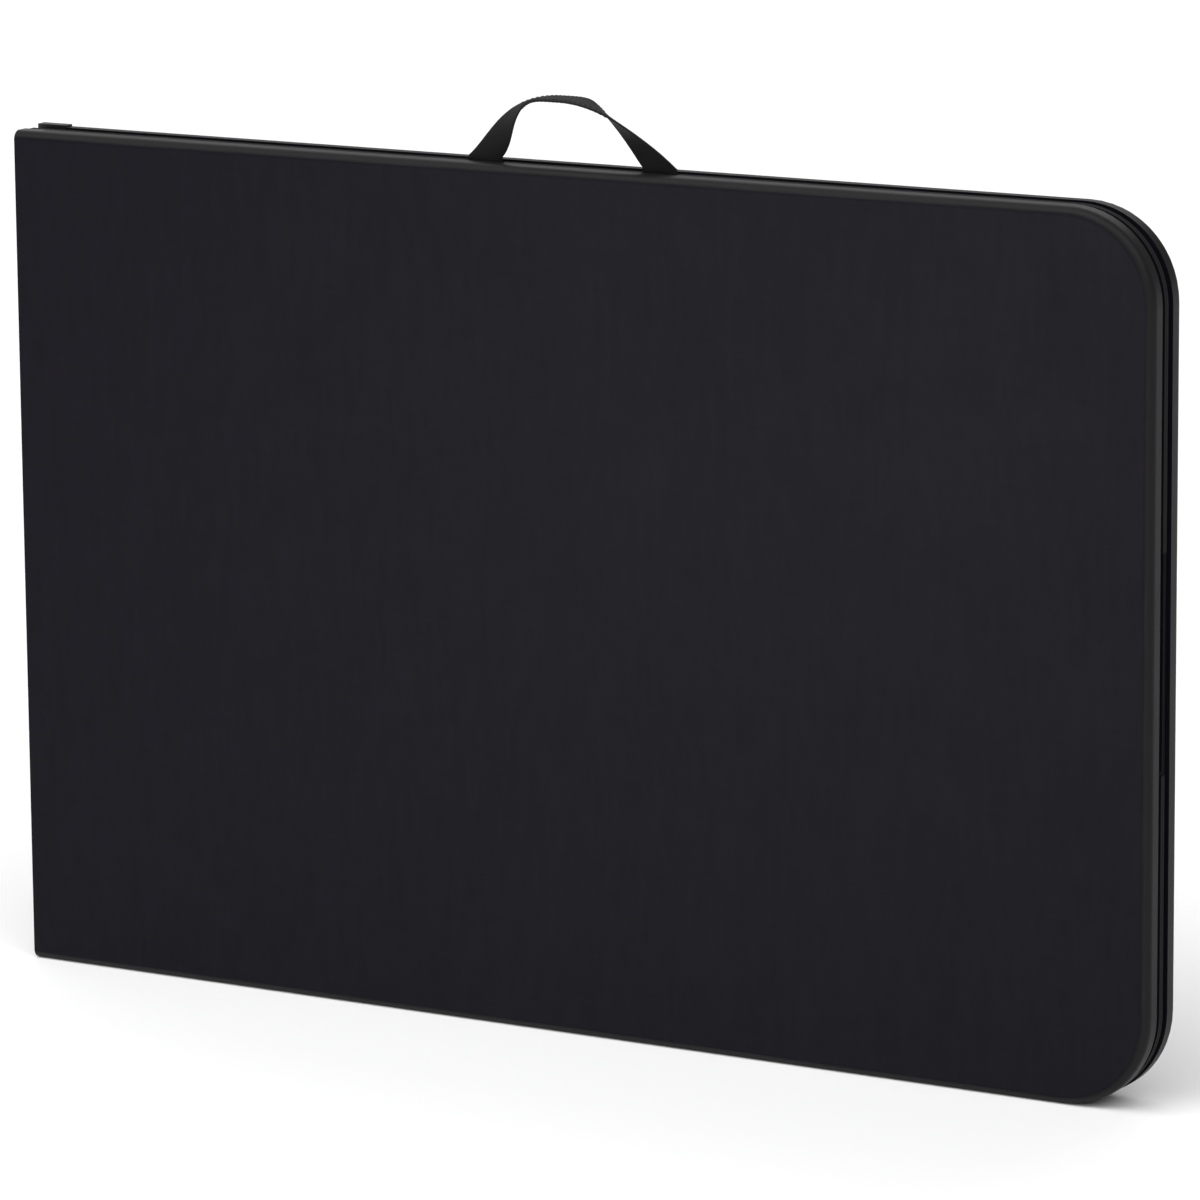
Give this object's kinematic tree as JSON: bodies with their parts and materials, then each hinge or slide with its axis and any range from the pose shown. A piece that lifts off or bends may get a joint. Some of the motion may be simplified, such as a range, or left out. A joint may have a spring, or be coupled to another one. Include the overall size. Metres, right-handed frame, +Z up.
{
  "type": "folding table",
  "caption": "Fold-in-half table shut like a case, standing on its long edge, with a webbing carrying strap, folding telescopic legs and locking braces.",
  "frame": {"origin": "centre of the shut case's footprint, on the surface that its lower long edge stands on", "axes": "+X from the fold line to the outer end, +Y through the thickness from half a to half b, +Z up, towards the carrying strap"},
  "size_m": [0.906, 0.045, 0.658],
  "materials": {
    "moulded_top": "moulded polyethylene with a fine linen texture, matt black",
    "black_trim": "smooth black moulded plastic",
    "zinc_steel": "bright zinc plate",
    "leg_steel": "grey powder coat on steel tube",
    "foot_rubber": "black rubber foot",
    "webbing": "black woven polypropylene webbing",
    "screw_steel": "zinc-plated pan head screws"
  },
  "bodies": {
    "half_a": {"half_shell_a": "moulded_top", "hinge_leaf_a_bottom": "zinc_steel", "hinge_leaf_a_top": "zinc_steel", "hinge_pin_bottom": "zinc_steel", "hinge_pin_top": "zinc_steel", "hinge_screws_a": "screw_steel", "side_rail_a_bottom": "zinc_steel", "side_rail_a_top": "zinc_steel", "rail_screws_a": "screw_steel", "pivot_bolts_a": "zinc_steel", "brace_bracket_a": "zinc_steel", "bracket_screws_a": "screw_steel", "brace_pin_a": "zinc_steel", "corner_caps_a": "black_trim", "catch_block": "black_trim", "strap_tails": "webbing", "strap_clamps": "zinc_steel", "strap_screws": "screw_steel"},
    "half_b": {"half_shell_b": "moulded_top", "hinge_leaf_b_bottom": "zinc_steel", "hinge_leaf_b_top": "zinc_steel", "hinge_screws_b": "screw_steel", "side_rail_b_bottom": "zinc_steel", "side_rail_b_top": "zinc_steel", "rail_screws_b": "screw_steel", "pivot_bolts_b": "zinc_steel", "brace_bracket_b": "zinc_steel", "bracket_screws_b": "screw_steel", "brace_pin_b": "zinc_steel", "corner_cap_b_top": "black_trim", "corner_cap_b_bottom": "black_trim", "catch_stud": "zinc_steel"},
    "strap": {"strap_loop": "webbing"},
    "leg_a": {"leg_frame_a": "leg_steel", "pivot_bushes_a": "black_trim", "stretcher_collars_a": "zinc_steel"},
    "lower_leg_a_bottom": {"lower_leg_a_bottom": "zinc_steel", "foot_cap_a_bottom": "foot_rubber"},
    "lower_leg_a_top": {"lower_leg_a_top": "zinc_steel", "foot_cap_a_top": "foot_rubber"},
    "brace_upper_a": {"brace_upper_a": "zinc_steel", "knuckle_rivet_upper_a": "zinc_steel"},
    "brace_lower_a": {"brace_lower_a": "zinc_steel", "knuckle_rivet_lower_a": "zinc_steel"},
    "lock_ring_a": {"lock_ring_a": "zinc_steel"},
    "leg_b": {"leg_frame_b": "leg_steel", "pivot_bushes_b": "black_trim", "stretcher_collars_b": "zinc_steel"},
    "lower_leg_b_bottom": {"lower_leg_b_bottom": "zinc_steel", "foot_cap_b_bottom": "foot_rubber"},
    "lower_leg_b_top": {"lower_leg_b_top": "zinc_steel", "foot_cap_b_top": "foot_rubber"},
    "brace_upper_b": {"brace_upper_b": "zinc_steel", "knuckle_rivet_upper_b": "zinc_steel"},
    "brace_lower_b": {"brace_lower_b": "zinc_steel", "knuckle_rivet_lower_b": "zinc_steel"},
    "lock_ring_b": {"lock_ring_b": "zinc_steel"}
  },
  "joints": [
    {"name": "table_fold", "type": "hinge", "parent": "half_a", "child": "half_b", "pos_m": [-0.447, 0, 0.305], "axis": [0, 0, 1], "range_deg": [0, 180]},
    {"name": "strap_swing", "type": "hinge", "parent": "half_a", "child": "strap", "pos_m": [0.003, -0.0019, 0.6109], "axis": [1, 0, 0], "range_deg": [-60, 60], "stiffness_Nm_per_rad": 0.05},
    {"name": "leg_fold_a", "type": "hinge", "parent": "half_a", "child": "leg_a", "pos_m": [0.343, -0.009, 0.305], "axis": [0, 0, -1], "range_deg": [0, 90]},
    {"name": "leg_extend_a_bottom", "type": "slide", "parent": "leg_a", "child": "lower_leg_a_bottom", "axis": [-1, 0, 0], "range_m": [0, 0.31]},
    {"name": "leg_extend_a_top", "type": "slide", "parent": "leg_a", "child": "lower_leg_a_top", "axis": [-1, 0, 0], "range_m": [0, 0.31]},
    {"name": "brace_upper_fold_a", "type": "hinge", "parent": "half_a", "child": "brace_upper_a", "pos_m": [-0.037, -0.009, 0.305], "axis": [0, 0, -1], "range_deg": [0, 141.76]},
    {"name": "brace_lower_fold_a", "type": "hinge", "parent": "leg_a", "child": "brace_lower_a", "pos_m": [0.043, -0.009, 0.305], "axis": [0, 0, 1], "range_deg": [0, 128.34]},
    {"name": "lock_ring_slide_a", "type": "slide", "parent": "brace_lower_a", "child": "lock_ring_a", "axis": [-1, 0, 0], "range_m": [0, 0.2021]},
    {"name": "leg_fold_b", "type": "hinge", "parent": "half_b", "child": "leg_b", "pos_m": [0.343, 0.009, 0.305], "axis": [0, 0, 1], "range_deg": [0, 90]},
    {"name": "leg_extend_b_bottom", "type": "slide", "parent": "leg_b", "child": "lower_leg_b_bottom", "axis": [-1, 0, 0], "range_m": [0, 0.31]},
    {"name": "leg_extend_b_top", "type": "slide", "parent": "leg_b", "child": "lower_leg_b_top", "axis": [-1, 0, 0], "range_m": [0, 0.31]},
    {"name": "brace_upper_fold_b", "type": "hinge", "parent": "half_b", "child": "brace_upper_b", "pos_m": [-0.037, 0.009, 0.305], "axis": [0, 0, 1], "range_deg": [0, 141.76]},
    {"name": "brace_lower_fold_b", "type": "hinge", "parent": "leg_b", "child": "brace_lower_b", "pos_m": [0.043, 0.009, 0.305], "axis": [0, 0, -1], "range_deg": [0, 128.34]},
    {"name": "lock_ring_slide_b", "type": "slide", "parent": "brace_lower_b", "child": "lock_ring_b", "axis": [-1, 0, 0], "range_m": [0, 0.2021]}
  ],
  "couplings": [
    {"joint": "leg_fold_a", "follows": "table_fold", "ratio": 0.5},
    {"joint": "brace_upper_fold_a", "follows": "table_fold", "ratio": 0.78728},
    {"joint": "brace_lower_fold_a", "follows": "table_fold", "ratio": 0.71272},
    {"joint": "lock_ring_slide_a", "follows": "table_fold", "m_per_rad": 0.064299},
    {"joint": "leg_fold_b", "follows": "table_fold", "ratio": 0.5},
    {"joint": "brace_upper_fold_b", "follows": "table_fold", "ratio": 0.78728},
    {"joint": "brace_lower_fold_b", "follows": "table_fold", "ratio": 0.71272},
    {"joint": "lock_ring_slide_b", "follows": "table_fold", "m_per_rad": 0.064299}
  ]
}
